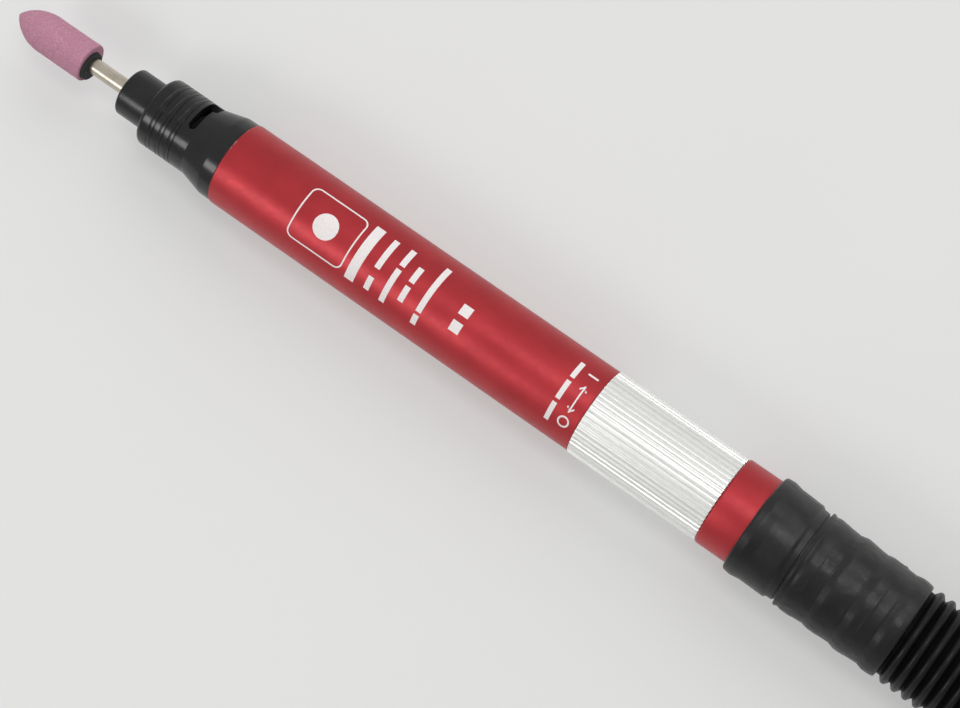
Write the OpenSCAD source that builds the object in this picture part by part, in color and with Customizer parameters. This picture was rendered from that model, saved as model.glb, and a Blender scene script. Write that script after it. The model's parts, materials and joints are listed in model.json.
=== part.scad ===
// Pencil air die grinder with a mounted point, a vane motor, a twist throttle
// ring and a rear exhaust over-hose.
// Millimetres, +Z up. The tool axis is X, +X runs towards the hose, and the
// origin is on the axis at the front edge of the motor housing.

/* [Motor housing] */
// Outside diameter of the motor housing
body_d = 16; // [15.8:0.1:16.4]
// Length of the motor housing
body_l = 77; // [77:0.5:84]

/* [Nose] */
// Diameter of the grooved nose ring
nose_d = 13.3; // [13.0:0.1:13.8]
// Length of the nose in front of the housing
nose_l = 17.5; // [17:0.1:19.5]
// Width of the narrow part of the spanner slot
slot_w = 1.55; // [1.3:0.05:1.9]
// Angle of the middle of the spanner slot, from +Y towards +Z
slot_at = 49; // [29:5:69]

/* [Collet nut] */
// Outside diameter of the collet nut
nut_d = 9.12; // [8.8:0.02:9.3]
// Length of the nut that stands out of the nose
nut_out = 6.4; // [5:0.05:6.6]

/* [Mounted point] */
// Diameter of the shank
shank_d = 3; // [2.4:0.1:3.0]
// Length of bare shank between nut and stone
shank_out = 9.1; // [4:0.05:14]
// Diameter of the stone
stone_d = 7.4; // [6.5:0.1:10]
// Length of the stone
stone_l = 16.6; // [14:0.1:22]
// Length of the stone's pointed part
stone_nose = 7; // [5.2:0.1:8]
// How far the stone's bush sits off centre
bush_off = 0.4; // [0:0.05:0.5]

/* [Throttle ring] */
// Diameter over the knurl
ring_d = 16.4; // [16.2:0.1:17]
// Length of the throttle ring
ring_l = 26.15; // [26:0.1:30]
// Number of flutes
flutes = 52; // [40:2:60]
// Depth of each flute
flute_deep = 0.26; // [0.15:0.01:0.35]
// Turn between the off and on stops, in degrees
turn = 60; // [45:5:75]

/* [Rear cap and cuff] */
// Diameter of the rear cap
cap_d = 16.6; // [16.3:0.1:16.8]
// Length of the cap that shows in front of the cuff
cap_show = 6.4; // [5:0.05:6.8]
// Diameter of the cuff's front section
cuff_d = 18.6; // [18.2:0.1:19.2]
// Mean diameter of the cuff's rippled section
cuff_rear_d = 17.8; // [17.6:0.1:18.2]
// Height of the cuff's ripples
ripple = 0.16; // [0:0.02:0.2]

/* [Hose] */
// Diameter over the corrugations
hose_d = 17.9; // [17.4:0.1:18.4]
// Distance between corrugations
hose_pitch = 2.15; // [1.9:0.01:2.3]
// Number of corrugations
hose_rings = 28; // [12:1:32]

/* [Hidden] */
$fn = 96;

// In names, _x0 is the front end of a part and _x1 its rear end.
cut = 1;                          // how far a cut runs past a face
fit = 0.02;                       // radial clearance of close fits
bore_r = 7;                       // housing bore
core_r = bore_r - fit;            // parts that fill the bore

// Nut, collet and stone
nut_x0 = -nose_l - nut_out;
nut_x1 = nut_x0 + 9.4;
mouth_x = nut_x0 + 1.6;           // spindle front face
taper_l = 6.4;                    // collet taper
taper_mouth_r = 2.6;              // spindle taper, at its mouth
taper_end_r = 1.92;
shank_r = shank_d / 2;
stone_x1 = nut_x0 - shank_out;
stone_x0 = stone_x1 - stone_l;
shank_x0 = stone_x0 + 9.4;
bush_x0 = stone_x1 - 1;
bush_r = 2.7;

// Nose
nose_ring_x1 = -7.1;              // end of the nose's straight part
slot_x0 = nose_ring_x1 - 2;
slot_from = slot_at - 37;         // the slot's ends, round the axis
slot_to = slot_at + 37;
nose_seal_x = nut_x1 + 1.6;
nose_seal_r = 5.4;
collar_r = 3.85;                  // spindle collar
nose_x1 = 6.4;

// Bearings
bearing_w = 4;
front_bearing_x = 1.4;
front_journal_r = 3;
front_seat_r = 6;
front_race_t = 0.8;
front_ball_r = 0.8;
front_balls = 8;
front_pitch_r = (front_journal_r + front_seat_r) / 2;
rear_bearing_x = 41;
rear_journal_r = 2;
rear_seat_r = 5;
rear_race_t = 0.85;
rear_ball_r = 0.75;
rear_balls = 7;
rear_pitch_r = (rear_journal_r + rear_seat_r) / 2;

// Motor
liner_x0 = nose_x1 + 3;
liner_x1 = liner_x0 + 28;
rear_plate_x1 = liner_x1 + 8;
manifold_x1 = rear_plate_x1 + 6;
liner_off = 0.6;                  // liner bore's offset towards +Z
rotor_r = 5;
rotor_gap = 0.06;                 // at each end of the rotor
vane_angles = [45:90:315];
channel_angles = [215, 325];
pin_x0 = liner_x0 - 1.4;
pin_x1 = liner_x1 + 2;

// Valve and throttle ring
valve_x0 = body_l - 17.6;
ring_x0 = body_l;
ring_x1 = ring_x0 + ring_l;
valve_x1 = ring_x1 + 6.4;
valve_r = 6;
front_port_x = body_l + 10.4;
rear_port_x = body_l + 16.4;
seal_xs = [body_l + 4.4, ring_x1 - 3.6];
o_ring_r = 0.5;
o_ring_groove_r = 5;
stop_x = body_l + 1.6;
stop_r = 0.6;
stop_floor_r = 4.85;
passage_r = 1.6;                  // air passage on the axis
socket_r = 2.2;                   // sockets for the supply tube and barb
socket_l = 6;
tube_socket_x0 = rear_plate_x1 + 2;
tube_socket_x1 = valve_x0 + socket_l;

// Rear cap, cuff and hoses
cuff_x0 = ring_x1 + cap_show;
cuff_x1 = cuff_x0 + 29.75;
cuff_bore_r = 7.8;
cap_shoulder_x = ring_x1 + 8;
// [radius, x] of the cap's spigot and its rib, which the cuff fits over
cap_rib = [
    [cuff_bore_r, cap_shoulder_x], [cuff_bore_r, ring_x1 + 10.4],
    [8.2, ring_x1 + 10.4], [cuff_bore_r, ring_x1 + 12.4]
];
hose_x0 = cuff_x0 + 14.85;
ridge_x0 = cuff_x1 + 2.05;        // middle of the first corrugation
hose_x1 = ridge_x0 + hose_pitch * (hose_rings - 1) + 4;
air_hose_x0 = valve_x1 + 4.1;
air_hose_in_r = 2.5;
air_hose_r = 3.75;
barb_root_r = 2.15;
inlet_x0 = hose_x1 + 5;           // inlet fitting's barb
inlet_x1 = inlet_x0 + 11;

// Revolves [radius, x] points about X.
module revolve(points) {
    rotate([0, 90, 0]) rotate_extrude() polygon(points);
}

// Rectangle as [radius, x] points
function band(inner_r, outer_r, x0, x1) =
    [[inner_r, x0], [outer_r, x0], [outer_r, x1], [inner_r, x1]];

module tube(inner_r, outer_r, x0, x1) {
    revolve(band(inner_r, outer_r, x0, x1));
}

// Part of a tube, between two angles from +Y towards +Z
module tube_arc(inner_r, outer_r, x0, x1, from, to) {
    rotate([from + 90, 0, 0]) rotate([0, 90, 0])
        rotate_extrude(angle = to - from) polygon(band(inner_r, outer_r, x0, x1));
}

module rod(radius, x0, x1) {
    translate([x0, 0, 0]) rotate([0, 90, 0]) cylinder(r = radius, h = x1 - x0);
}

// Rod parallel to the axis, at an angle and a distance from it
module side_rod(radius, x0, x1, angle, distance) {
    rotate([angle, 0, 0]) translate([0, distance, 0]) rod(radius, x0, x1);
}

// Radial rod between two distances from the axis
module spoke(radius, x, angle, from, to) {
    rotate([angle, 0, 0]) translate([x, from, 0]) rotate([-90, 0, 0])
        cylinder(r = radius, h = to - from);
}

// Box standing on a radius; size is [length, radial depth, width]
module radial_box(angle, x, from, size) {
    rotate([angle, 0, 0]) translate([x, from, -size[2] / 2]) cube(size);
}

module torus(ring_r, wire_r, x) {
    translate([x, 0, 0]) rotate([0, 90, 0])
        rotate_extrude() translate([ring_r, 0]) circle(r = wire_r);
}

module hexagon(across_flats, x, length) {
    translate([x, 0, 0]) rotate([0, 90, 0])
        cylinder(d = across_flats / cos(30), h = length, $fn = 6);
}

// Arc of profile points; angle 0 is outward and 90 is towards +X
function fillet(centre_r, centre_x, radius, from, to, steps = 6) =
    [for (i = [0:steps]) let (angle = from + (to - from) * i / steps)
        [centre_r + radius * cos(angle), centre_x + radius * sin(angle)]];

// Two hairline grooves with a thin land between them
function twin_grooves(radius, x) = [
    for (side = [-1, 1]) let (middle = x + side * 0.4) each [
        [radius, middle - 0.13], [radius - 0.14, middle - 0.06],
        [radius - 0.14, middle + 0.06], [radius, middle + 0.13]
    ]
];

module grinding_stone() {
    radius = stone_d / 2;
    // radius of the tangent ogive
    ogive_r = (radius * radius + stone_nose * stone_nose) / (2 * radius);
    edge_r = 0.35;
    steps = 12;
    color([0.80, 0.52, 0.62]) difference() {
        revolve(concat(
            [[0, stone_x0 + 0.04]],
            [for (i = [1:steps]) let (ahead = stone_nose * (1 - i / steps))
                [radius - ogive_r + sqrt(ogive_r * ogive_r - ahead * ahead),
                 stone_x0 + stone_nose - ahead]],
            fillet(radius - edge_r, stone_x1 - edge_r, edge_r, 0, 90, 4),
            [[0, stone_x1]]
        ));
        rod(shank_r, shank_x0, stone_x1 + cut);
        translate([0, -bush_off, 0]) rod(bush_r, bush_x0, stone_x1 + cut);
    }
}

module stone_bushing() {
    chamfer = 0.3;
    x1 = stone_x1 + 0.8;
    color([0.09, 0.09, 0.09]) difference() {
        translate([0, -bush_off, 0]) revolve([
            [0, bush_x0], [bush_r, bush_x0], [bush_r, x1 - chamfer],
            [bush_r - chamfer, x1], [0, x1]
        ]);
        rod(shank_r, bush_x0 - cut, stone_x1 + 2);
    }
}

module mandrel() {
    chamfer = 0.3;
    x1 = -5.5;
    color([0.72, 0.68, 0.60]) revolve([
        [0, shank_x0], [shank_r, shank_x0],
        [shank_r, x1 - chamfer], [shank_r - chamfer, x1], [0, x1]
    ]);
}

module collet_nut() {
    radius = nut_d / 2;
    edge_r = 0.45;
    mouth_r = 1.75;
    thread_r = 3.55;
    color([0.07, 0.07, 0.075]) revolve(concat(
        [[mouth_r, nut_x0], [radius - edge_r, nut_x0]],
        fillet(radius - edge_r, nut_x0 + edge_r, edge_r, -80, 0, 4),
        [[radius, nut_x1 - 0.2], [radius - 0.2, nut_x1], [thread_r, nut_x1],
         [thread_r, mouth_x - 0.05], [1.95, nut_x0 + 1], [mouth_r, nut_x0 + 1]]
    ));
}

module collet() {
    bore = shank_r + fit;
    tail_r = taper_end_r - fit;
    x0 = mouth_x - 0.5;
    x1 = mouth_x + 16.4;
    color([0.62, 0.62, 0.64]) difference() {
        revolve([
            [bore, x0], [tail_r, x0],
            [taper_mouth_r - fit, mouth_x - 0.02], [tail_r, mouth_x + taper_l],
            [tail_r, x1], [bore, x1]
        ]);
        // crossed slits
        for (angle = [45, 135]) radial_box(angle, mouth_x - 1, -3, [10, 6, 0.32]);
    }
}

module spindle() {
    front_r = 3.5;
    collar_x0 = nut_x1 + 0.4;
    step_x = liner_x0 + rotor_gap;
    x1 = rear_plate_x1 - 0.8;
    bore_step_x = -4.6;
    slope = (taper_mouth_r - taper_end_r) / taper_l;
    color([0.60, 0.60, 0.62]) difference() {
        revolve([
            [0, mouth_x], [front_r - 0.2, mouth_x], [front_r, mouth_x + 0.2],
            [front_r, collar_x0], [collar_r, collar_x0],
            [collar_r, front_bearing_x], [front_journal_r, front_bearing_x],
            [front_journal_r, step_x], [rear_journal_r, step_x],
            [rear_journal_r, x1], [0, x1]
        ]);
        // collet taper and bore
        revolve([
            [0, mouth_x - cut], [taper_mouth_r + slope * cut, mouth_x - cut],
            [taper_end_r, mouth_x + taper_l], [taper_end_r, bore_step_x],
            [1.6, bore_step_x], [1.6, 0.4], [0, 0.4]
        ]);
        // spanner flats behind the slot
        for (side = [0, 180])
            radial_box(slot_at + side, slot_x0 - 0.3, 3.3, [3.2, 3, 10]);
    }
}

module nose_cap() {
    radius = nose_d / 2;
    edge_r = 1.4;
    mouth_r = 4.8;
    lip_r = 4.2;
    lip_x0 = nut_x1 + 1.2;
    seat_x0 = front_bearing_x - 0.1;
    color([0.07, 0.07, 0.075]) difference() {
        revolve(concat(
            [[mouth_r, -nose_l]],
            fillet(radius - edge_r, -nose_l + edge_r, edge_r, -90, 0, 8),
            [for (ahead = [7.5, 5.4, 3.3])
                each twin_grooves(radius, nose_ring_x1 - ahead)],
            // flare out to the housing
            [[radius, nose_ring_x1], [radius + 0.1, nose_ring_x1 + 0.7],
             [7.7, -2.9], [7.85, -2.2], [7.87, -1.6], [7.87, 0]],
            // spigot in the housing, then the stepped bore
            [[bore_r, 0], [bore_r, nose_x1],
             [front_seat_r, nose_x1], [front_seat_r, seat_x0],
             [nose_seal_r, seat_x0], [nose_seal_r, nose_seal_x],
             [lip_r, nose_seal_x], [lip_r, lip_x0], [mouth_r, lip_x0]]
        ));
        // spanner slot through the wall, wider at its +Y end
        tube_arc(4.5, 9, slot_x0, slot_x0 + slot_w, slot_from, slot_to);
        tube_arc(4.4, 9.2, slot_x0 + 0.3, slot_x0 + 2.4,
            slot_from + 0.5, slot_from + 28);
    }
}

module nose_seal() {
    color([0.25, 0.24, 0.22])
        tube(collar_r + 0.07, nose_seal_r, nose_seal_x, nose_seal_x + 2);
}

module outer_race(x, radius, wall, ball_r, pitch_r) {
    inner_r = radius - wall;
    x1 = x + bearing_w;
    chamfer = 0.15;
    difference() {
        revolve([
            [inner_r, x], [radius - chamfer, x], [radius, x + chamfer],
            [radius, x1 - chamfer], [radius - chamfer, x1], [inner_r, x1]
        ]);
        torus(pitch_r, ball_r + fit, x + bearing_w / 2);
    }
}

module inner_race(x, bore, wall, ball_r, pitch_r) {
    difference() {
        tube(bore, bore + wall, x, x + bearing_w);
        torus(pitch_r, ball_r + fit, x + bearing_w / 2);
    }
}

module balls(x, count, ball_r, pitch_r) {
    for (i = [0:count - 1]) rotate([i * 360 / count, 0, 0])
        translate([x + bearing_w / 2, pitch_r, 0]) sphere(r = ball_r);
}

module ball_cage(x, count, ball_r, pitch_r) {
    inset = 0.9;
    half_t = 0.24;
    difference() {
        tube(pitch_r - half_t, pitch_r + half_t, x + inset, x + bearing_w - inset);
        for (i = [0:count - 1])
            spoke(ball_r + 0.06, x + bearing_w / 2, i * 360 / count,
                  pitch_r - cut, pitch_r + cut);
    }
}

module front_bearing_outer() {
    color([0.70, 0.70, 0.72]) outer_race(
        front_bearing_x, front_seat_r, front_race_t, front_ball_r, front_pitch_r);
}

module front_bearing_inner() {
    color([0.70, 0.70, 0.72]) inner_race(
        front_bearing_x, front_journal_r, front_race_t, front_ball_r, front_pitch_r);
}

module front_bearing_balls() {
    color([0.78, 0.78, 0.80])
        balls(front_bearing_x, front_balls, front_ball_r, front_pitch_r);
}

module front_bearing_cage() {
    color([0.55, 0.35, 0.15])
        ball_cage(front_bearing_x, front_balls, front_ball_r, front_pitch_r);
}

module rear_bearing_outer() {
    color([0.70, 0.70, 0.72]) outer_race(
        rear_bearing_x, rear_seat_r, rear_race_t, rear_ball_r, rear_pitch_r);
}

module rear_bearing_inner() {
    color([0.70, 0.70, 0.72]) inner_race(
        rear_bearing_x, rear_journal_r, rear_race_t, rear_ball_r, rear_pitch_r);
}

module rear_bearing_balls() {
    color([0.78, 0.78, 0.80])
        balls(rear_bearing_x, rear_balls, rear_ball_r, rear_pitch_r);
}

module rear_bearing_cage() {
    color([0.55, 0.35, 0.15])
        ball_cage(rear_bearing_x, rear_balls, rear_ball_r, rear_pitch_r);
}

// The locating pin's rod, also used to cut its hole
module pin_rod(x0, x1) {
    side_rod(0.5, x0, x1, -90, 6.05);
}

// The two exhaust channels along the motor
module channels(x0, x1) {
    for (angle = channel_angles) radial_box(angle, x0, 6.2, [x1 - x0, 2, 2.4]);
}

// Curved air slot at the top
module kidney(x0, x1) {
    tube_arc(5.25, 6.05, x0, x1, 60, 120);
}

module front_plate() {
    bore = front_journal_r + 0.1;
    // a raised rim meets the bearing's outer race
    rim_in_r = front_seat_r - front_race_t;
    rim_r = front_seat_r - 0.05;
    rim_x0 = front_bearing_x + bearing_w;
    color([0.55, 0.56, 0.58]) difference() {
        revolve([
            [bore, nose_x1], [rim_in_r, nose_x1], [rim_in_r, rim_x0],
            [rim_r, rim_x0], [rim_r, nose_x1], [core_r, nose_x1],
            [core_r, liner_x0], [bore, liner_x0]
        ]);
        pin_rod(pin_x0, liner_x0 + cut);
    }
}

module cylinder_liner() {
    color([0.50, 0.51, 0.53]) difference() {
        rod(core_r, liner_x0, liner_x1);
        translate([0, 0, liner_off]) rod(5.7, liner_x0 - cut, liner_x1 + cut);
        pin_rod(liner_x0 - cut, liner_x1 + cut);
        channels(liner_x0 + 2.6, liner_x1 + cut);
        // exhaust ports
        for (angle = channel_angles, x = [16, 22, 28])
            radial_box(angle, x, 4.4, [1.6, 3, 1.6]);
    }
}

module locating_pin() {
    color([0.65, 0.65, 0.67]) pin_rod(pin_x0, pin_x1);
}

module rotor() {
    color([0.58, 0.58, 0.60]) difference() {
        rod(rotor_r, liner_x0 + rotor_gap, liner_x1 - rotor_gap);
        rod(rear_journal_r, liner_x0 - cut, liner_x1 + cut);
        for (angle = vane_angles)
            radial_box(angle, liner_x0 - cut, 2.55,
                [liner_x1 - liner_x0 + 2 * cut, 3, 0.86]);
    }
}

module rotor_vanes() {
    gap = 0.1;
    color([0.45, 0.28, 0.14])
        for (angle = vane_angles)
            radial_box(angle, liner_x0 + gap, 2.62,
                [liner_x1 - liner_x0 - 2 * gap, 2.33, 0.8]);
}

module rear_plate() {
    bore = 2.15;
    color([0.55, 0.56, 0.58]) difference() {
        revolve([
            [bore, liner_x1], [core_r, liner_x1], [core_r, rear_plate_x1],
            [rear_seat_r, rear_plate_x1], [rear_seat_r, rear_bearing_x],
            [bore, rear_bearing_x]
        ]);
        kidney(liner_x1 - cut, rear_plate_x1 + cut);
        channels(liner_x1 - cut, rear_plate_x1 + cut);
        pin_rod(liner_x1 - cut, pin_x1);
    }
}

module manifold() {
    color([0.66, 0.66, 0.68]) difference() {
        rod(core_r, rear_plate_x1, manifold_x1);
        rod(socket_r, tube_socket_x0, manifold_x1 + cut);
        // passage from the tube up to the kidney slot
        spoke(0.9, rear_plate_x1 + 3, 90, 0, 5.7);
        kidney(rear_plate_x1 - cut, rear_plate_x1 + 4);
        channels(rear_plate_x1 - cut, manifold_x1 + cut);
    }
}

module supply_tube() {
    gap = 0.1;
    color([0.75, 0.60, 0.30])
        tube(passage_r, socket_r - fit, tube_socket_x0 + gap, tube_socket_x1 - gap);
}

module valve_body() {
    half_w = 0.65;                // of the O-ring grooves
    color([0.68, 0.68, 0.70]) difference() {
        revolve(concat(
            [[0, valve_x0], [core_r, valve_x0], [core_r, body_l], [valve_r, body_l]],
            [for (x = seal_xs) each [
                [valve_r, x - half_w], [o_ring_groove_r, x - half_w],
                [o_ring_groove_r, x + half_w], [valve_r, x + half_w]
            ]],
            [[valve_r, valve_x1], [0, valve_x1]]
        ));
        rod(socket_r, valve_x0 - cut, tube_socket_x1);
        rod(passage_r, tube_socket_x1 - cut, front_port_x + 1);
        rod(passage_r, rear_port_x - 1, valve_x1 - socket_l);
        rod(socket_r, valve_x1 - socket_l - cut, valve_x1 + cut);
        for (x = [front_port_x, rear_port_x]) spoke(1, x, 90, 0, 8);
        // lengthwise exhaust holes
        for (angle = [-90, -30, 30, 150, 210])
            side_rod(0.95, valve_x0 - cut, valve_x1 + cut, angle, 3.7);
        spoke(stop_r, stop_x, -90, stop_floor_r, 8);
    }
}

module valve_o_rings() {
    color([0.05, 0.05, 0.05])
        for (x = seal_xs) torus(o_ring_groove_r + o_ring_r + fit, o_ring_r, x);
}

module stop_pin() {
    color([0.65, 0.65, 0.67]) spoke(stop_r, stop_x, -90, stop_floor_r, 6.9);
}

function polar(radius, angle) = [radius * cos(angle), radius * sin(angle)];

module throttle_ring() {
    radius = ring_d / 2;
    root_r = radius - flute_deep;
    pitch = 360 / flutes;
    x0 = ring_x0 + 0.05;
    x1 = ring_x1 - 0.05;
    color([0.86, 0.86, 0.85]) difference() {
        intersection() {
            translate([x0, 0, 0]) rotate([0, 90, 0])
                linear_extrude(x1 - x0) polygon([
                    for (i = [0:flutes - 1]) each [
                        polar(radius, pitch * (i - 0.27)),
                        polar(radius, pitch * (i + 0.27)),
                        polar(root_r, pitch * (i + 0.42)),
                        polar(root_r, pitch * (i + 0.58))
                    ]
                ]);
            // envelope with chamfered ends
            revolve([
                [0, x0], [radius - 0.3, x0], [radius + 0.02, x0 + 0.32],
                [radius + 0.02, x1 - 0.32], [radius - 0.3, x1], [0, x1]
            ]);
        }
        rod(valve_r + 0.05, x0 - cut, x1 + cut);
        // pocket that joins the two ports when the ring is on
        tube_arc(5.5, 6.9, front_port_x - 1.2, rear_port_x + 1.2,
            90 + turn - 12, 90 + turn + 12);
        // stop groove, open at the front face
        tube_arc(5.5, 7.1, x0 - cut, stop_x + 0.8, -96, -90 + turn + 6);
    }
}

module motor_housing() {
    color([0.66, 0.12, 0.16]) tube(bore_r, body_d / 2, 0, body_l);
}

module rear_cap() {
    radius = cap_d / 2;
    chamfer = 0.3;
    x1 = ring_x1 + 14.4;
    color([0.66, 0.12, 0.16]) revolve(concat(
        [[valve_r, ring_x1], [radius - chamfer, ring_x1],
         [radius, ring_x1 + chamfer], [radius, cap_shoulder_x]],
        cap_rib,
        [[cuff_bore_r, x1], [7, x1], [7, valve_x1], [valve_r, valve_x1]]
    ));
}

module hose_barb() {
    x = valve_x1;
    flange_x1 = x + 1.5;
    x1 = x + 12.6;
    color([0.78, 0.62, 0.30]) difference() {
        union() {
            revolve(concat(
                [[0, x - socket_l], [socket_r, x - socket_l], [socket_r, x],
                 [2.6, x], [2.6, flange_x1], [2.4, flange_x1], [2.4, air_hose_x0]],
                [for (i = [0:2]) each [
                    [barb_root_r, air_hose_x0 + i * 2.8],
                    [air_hose_in_r, x + 6.4 + i * 2.8]]],
                [[2.1, x1], [0, x1]]
            ));
            hexagon(7, flange_x1, 2.5);
        }
        rod(1.4, x - socket_l - cut, x + 14);
    }
}

module hose_ferrule() {
    color([0.70, 0.70, 0.70]) tube(air_hose_r, 4.15, valve_x1 + 5, valve_x1 + 12);
}

module air_hose() {
    color([0.12, 0.12, 0.13]) tube(air_hose_in_r, air_hose_r, air_hose_x0, inlet_x1);
}

module hose_cuff() {
    radius = cuff_d / 2;
    rear_r = cuff_rear_d / 2;
    x = cuff_x0;
    ripple_x0 = x + 10.5;
    ripple_l = cuff_x1 - ripple_x0 - 1;
    ripples = 4;
    steps = 24;
    color([0.10, 0.10, 0.105]) revolve(concat(
        [[cap_d / 2, x]],
        fillet(radius - 0.7, x + 0.7, 0.7, -80, 0),
        [[radius - 0.02, x + 1.6], [radius - 0.22, x + 3.2], [radius - 0.24, x + 7]],
        fillet(radius - 0.84, x + 7.6, 0.6, 0, 70, 4),
        // neck between the two sections
        [[8.65, x + 8.55], [8.6, x + 9.9], [9.1, x + 10.1], [9.1, x + 10.3]],
        // ripples that fade towards the rear
        [for (i = [0:steps]) let (along = i / steps)
            [rear_r + ripple * cos(360 * ripples * along) * (1 - 0.3 * along),
             ripple_x0 + ripple_l * along]],
        [[rear_r - 0.15, cuff_x1 - 0.5], [rear_r - 0.65, cuff_x1],
         [cuff_bore_r, cuff_x1]],
        [for (i = [3:-1:0]) cap_rib[i]],
        [[cap_d / 2, cap_shoulder_x]]
    ));
}

module exhaust_hose() {
    radius = hose_d / 2;
    root_r = radius - 0.95;
    shoulder_r = radius - 0.12;
    bore = 7.2;
    plain_x1 = cuff_x1 + 0.2;
    pitch = hose_pitch;
    color([0.09, 0.09, 0.095]) revolve(concat(
        [[bore, hose_x0], [cuff_bore_r, hose_x0],
         [cuff_bore_r, plain_x1], [root_r, plain_x1]],
        [for (i = [0:hose_rings - 1]) let (x = ridge_x0 + i * pitch) each [
            [root_r, x - pitch * 0.44], [shoulder_r, x - pitch * 0.18],
            [radius, x - pitch * 0.08], [radius, x + pitch * 0.08],
            [shoulder_r, x + pitch * 0.18], [root_r, x + pitch * 0.44]
        ]],
        [[root_r, hose_x1], [bore, hose_x1]]
    ));
}

module inlet_fitting() {
    x = inlet_x1;
    hex_x1 = x + 6.4;
    body_r = 6.58;
    x1 = x + 17.9;
    color([0.78, 0.62, 0.30]) difference() {
        union() {
            revolve(concat(
                [[0, inlet_x0], [2.1, inlet_x0]],
                [for (i = [0:2]) each [
                    [air_hose_in_r, inlet_x0 + 1.6 + i * 3],
                    [barb_root_r, inlet_x0 + 3.2 + i * 3]]],
                [[2.4, x], [5, x], [5, hex_x1], [6, hex_x1], [6, x + 7],
                 [body_r, x + 7.3], [body_r, x1 - 0.6], [6, x1], [0, x1]]
            ));
            hexagon(14, x + 0.2, 6.2);
        }
        rod(passage_r, inlet_x0 - cut, x + 9);
        rod(3, x + 8, x + 19);
    }
}

module inlet_ferrule() {
    color([0.70, 0.70, 0.70]) tube(air_hose_r, 4.2, inlet_x0 + 1.5, inlet_x0 + 9.5);
}

grinding_stone();
stone_bushing();
mandrel();
collet_nut();
collet();
spindle();
nose_cap();
nose_seal();
front_bearing_outer();
front_bearing_inner();
front_bearing_balls();
front_bearing_cage();
front_plate();
cylinder_liner();
locating_pin();
rotor();
rotor_vanes();
rear_plate();
rear_bearing_outer();
rear_bearing_inner();
rear_bearing_balls();
rear_bearing_cage();
manifold();
supply_tube();
valve_body();
valve_o_rings();
stop_pin();
throttle_ring();
motor_housing();
rear_cap();
hose_barb();
hose_ferrule();
air_hose();
hose_cuff();
exhaust_hose();
inlet_fitting();
inlet_ferrule();
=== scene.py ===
# A pencil grinder driven by air, lying along the X axis.
# The mounted stone points to -X and the hose leaves to +X; Y and Z are measured from the tool's
# axis, with +Z up from the floor. Lengths are in mm unless a comment says metres, and are turned
# into metres as each mesh is made. Shader, lamp and camera lengths are in metres.

import json
import math

import bpy
import bmesh
import numpy as np
from mathutils import Matrix, Vector, noise


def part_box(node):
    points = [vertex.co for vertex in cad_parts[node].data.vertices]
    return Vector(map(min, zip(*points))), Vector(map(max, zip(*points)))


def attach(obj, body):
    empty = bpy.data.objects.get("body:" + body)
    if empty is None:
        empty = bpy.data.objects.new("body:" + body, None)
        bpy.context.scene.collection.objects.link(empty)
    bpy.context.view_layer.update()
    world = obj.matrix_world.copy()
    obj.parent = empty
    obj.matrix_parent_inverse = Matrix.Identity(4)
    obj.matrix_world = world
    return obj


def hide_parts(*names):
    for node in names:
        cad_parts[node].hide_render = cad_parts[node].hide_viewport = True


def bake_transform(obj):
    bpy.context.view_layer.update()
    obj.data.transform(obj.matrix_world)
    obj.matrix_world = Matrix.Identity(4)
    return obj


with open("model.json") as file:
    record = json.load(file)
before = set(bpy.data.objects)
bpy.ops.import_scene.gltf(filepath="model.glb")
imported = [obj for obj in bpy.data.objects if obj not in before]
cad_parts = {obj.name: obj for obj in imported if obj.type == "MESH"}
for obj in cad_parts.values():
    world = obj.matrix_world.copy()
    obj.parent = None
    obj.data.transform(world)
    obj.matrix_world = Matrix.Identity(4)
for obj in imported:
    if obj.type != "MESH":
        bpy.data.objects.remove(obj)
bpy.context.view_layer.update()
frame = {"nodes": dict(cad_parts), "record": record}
scene = bpy.context.scene
NODES = frame["nodes"]
MM = 0.001
TURN = 2 * math.pi


# ---------------------------------------------------------------- dimensions


def span(node):
    """The two ends of a CAD node along X."""
    lo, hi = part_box(node)
    return lo.x / MM, hi.x / MM


def radius(node):
    """The furthest reach of a CAD node from the axis, along Y or Z."""
    lo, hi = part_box(node)
    return max(hi.y, -lo.y, hi.z, -lo.z) / MM


# stations along X: 0 is a piece's -X end and 1 its +X end
STONE0, STONE1 = span("grinding_stone")
_, COLLAR1 = span("stone_bushing")
SHANK0, SHANK1 = span("mandrel")
NUT0, NUT1 = span("collet_nut")
NOSE0, NOSE1 = span("nose_cap")
BODY0, BODY1 = span("motor_housing")
RING0, RING1 = span("throttle_ring")
CAP0, CAP1 = span("rear_cap")
CUFF0, CUFF1 = span("hose_cuff")
HOSE0, HOSE1 = span("exhaust_hose")
AIR0, AIR1 = span("air_hose")
INLET0, INLET1 = span("inlet_fitting")

R_STONE = radius("grinding_stone")
R_SHANK = radius("mandrel")
R_NUT = radius("collet_nut")
R_BODY = radius("motor_housing")
R_RING = radius("throttle_ring")
R_CAP = radius("rear_cap")
R_CUFF = radius("hose_cuff")
R_HOSE = radius("exhaust_hose")
R_AIR = radius("air_hose")
R_BORE = 7.0                        # bore shared by the nose, barrel and end cap

# the nose is straight up to NOSE_STEP, with pairs of fine grooves ahead of it
NOSE_STEP = -7.1
R_NOSE = 6.65
R_FLARE = 7.87
GROOVE_PAIRS = (7.5, 5.4, 3.3)      # from NOSE_STEP to the middle of each pair
GROOVE_OFFSET = 0.4                 # from the middle of a pair to each groove

# the end cap's neck, and the ramped ridge on it that the cuff grips
NECK0 = CAP0 + 8
RIDGE0 = CAP0 + 10.4
RIDGE1 = CAP0 + 12.4
R_NECK = 7.8
R_RIDGE = 8.2


# ---------------------------------------------------------------- meshes


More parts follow.
